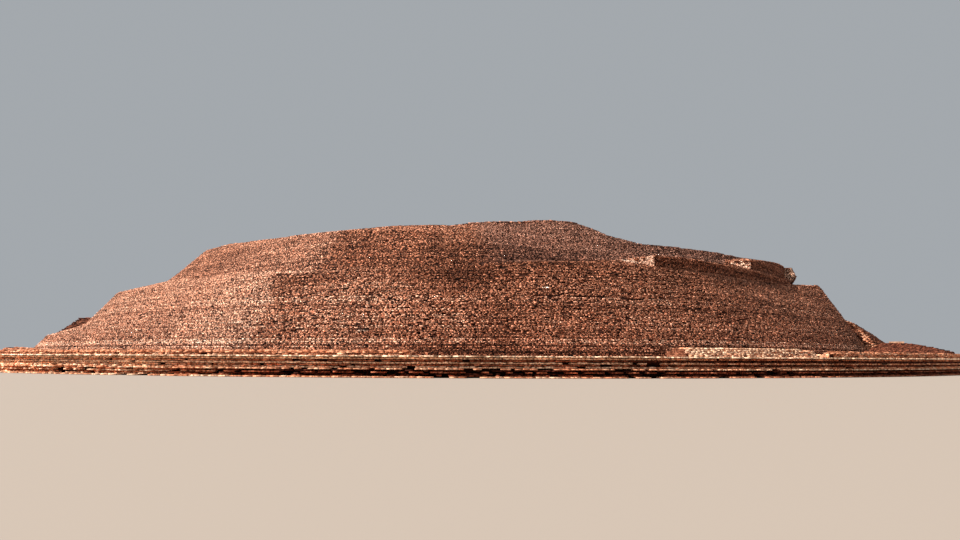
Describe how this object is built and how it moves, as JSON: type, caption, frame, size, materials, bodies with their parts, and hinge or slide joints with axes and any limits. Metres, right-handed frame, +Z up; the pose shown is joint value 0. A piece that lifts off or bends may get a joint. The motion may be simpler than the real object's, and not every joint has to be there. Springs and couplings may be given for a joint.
{
  "type": "half-scale model of a ruined brick stupa",
  "caption": "Scale model at 1:2 of a ruined brick stupa: a broad stepped mound of eroded brick tiers on a low round moulded podium.",
  "frame": {"origin": "centre of the round podium at the level of its foot", "axes": "+Z up; +X to the right and +Y away from the viewer when the stupa is seen from its front, which faces -Y"},
  "size_m": [35.1786, 35.1997, 4.8739],
  "materials": {
    "mound_brick": "rough weathered brickwork",
    "upper_brick": "rough weathered brickwork, greyer",
    "podium_brick": "rough brick courses",
    "pale_brick": "pale newer brick"
  },
  "bodies": {
    "root": {"cap_slab": "pale_brick", "crown_course_high": "upper_brick", "crown_course_low": "upper_brick", "deck_rubble_left": "pale_brick", "deck_step_left": "pale_brick", "deck_step_right": "pale_brick", "foot_bench": "pale_brick", "heart": "mound_brick", "lower_back": "mound_brick", "lower_back_left": "mound_brick", "lower_back_right": "mound_brick", "lower_front": "mound_brick", "lower_front_left": "mound_brick", "lower_front_right": "mound_brick", "lower_left": "mound_brick", "lower_right": "mound_brick", "plinth_back": "podium_brick", "plinth_back_left": "podium_brick", "plinth_back_right": "podium_brick", "plinth_front": "podium_brick", "plinth_front_left": "podium_brick", "plinth_front_right": "podium_brick", "podium_back": "podium_brick", "podium_back_left": "podium_brick", "podium_back_right": "podium_brick", "podium_bed": "podium_brick", "podium_front": "podium_brick", "podium_front_left": "podium_brick", "podium_front_right": "podium_brick", "rear_heap_left": "mound_brick", "rear_spur_right": "mound_brick", "right_low_wall": "mound_brick", "shell_high": "mound_brick", "shell_low": "mound_brick", "shell_rear": "mound_brick", "summit_cap": "upper_brick", "upper_back": "upper_brick", "upper_back_left": "upper_brick", "upper_back_right": "upper_brick", "upper_front": "upper_brick", "upper_front_right": "upper_brick", "upper_left": "upper_brick", "upper_left_facet": "upper_brick", "upper_right": "upper_brick", "upper_rough_facet": "upper_brick"}
  },
  "joints": []
}
